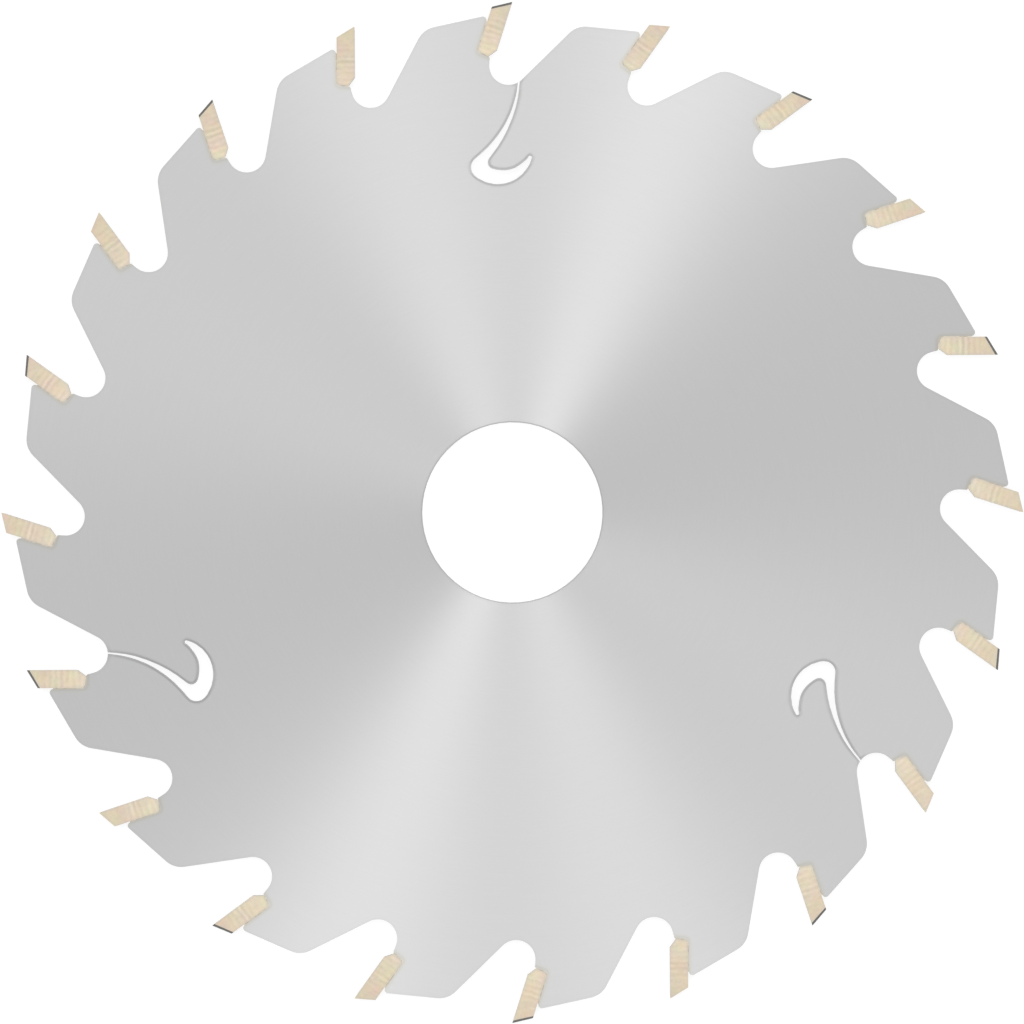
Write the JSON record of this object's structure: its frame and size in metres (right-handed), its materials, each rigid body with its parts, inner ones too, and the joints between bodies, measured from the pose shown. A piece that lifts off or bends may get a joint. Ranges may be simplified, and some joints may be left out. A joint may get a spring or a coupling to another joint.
{
  "type": "circular saw blade",
  "caption": "Flat steel circular saw blade with carbide tips brazed into hooked teeth, round gullets, hook-shaped expansion slots and a plain round arbor bore.",
  "frame": {"origin": "centre of the bore, half way through the plate's thickness", "axes": "+Z along the bore axis, out of the side the picture shows; the blade cuts clockwise seen from +Z; one cutting point lies on +X and one on +Y"},
  "size_m": [0.17, 0.17, 0.0026],
  "materials": {
    "plate_steel": "satin, brushed in circles round the bore",
    "carbide": "fine ground cemented carbide, cream, matt",
    "braze_alloy": "dull braze"
  },
  "bodies": {
    "root": {"saw_plate": "plate_steel", "carbide_tip_01": "carbide", "carbide_tip_02": "carbide", "carbide_tip_03": "carbide", "carbide_tip_04": "carbide", "carbide_tip_05": "carbide", "carbide_tip_06": "carbide", "carbide_tip_07": "carbide", "carbide_tip_08": "carbide", "carbide_tip_09": "carbide", "carbide_tip_10": "carbide", "carbide_tip_11": "carbide", "carbide_tip_12": "carbide", "carbide_tip_13": "carbide", "carbide_tip_14": "carbide", "carbide_tip_15": "carbide", "carbide_tip_16": "carbide", "carbide_tip_17": "carbide", "carbide_tip_18": "carbide", "carbide_tip_19": "carbide", "carbide_tip_20": "carbide", "braze_01": "braze_alloy", "braze_02": "braze_alloy", "braze_03": "braze_alloy", "braze_04": "braze_alloy", "braze_05": "braze_alloy", "braze_06": "braze_alloy", "braze_07": "braze_alloy", "braze_08": "braze_alloy", "braze_09": "braze_alloy", "braze_10": "braze_alloy", "braze_11": "braze_alloy", "braze_12": "braze_alloy", "braze_13": "braze_alloy", "braze_14": "braze_alloy", "braze_15": "braze_alloy", "braze_16": "braze_alloy", "braze_17": "braze_alloy", "braze_18": "braze_alloy", "braze_19": "braze_alloy", "braze_20": "braze_alloy"}
  },
  "joints": []
}
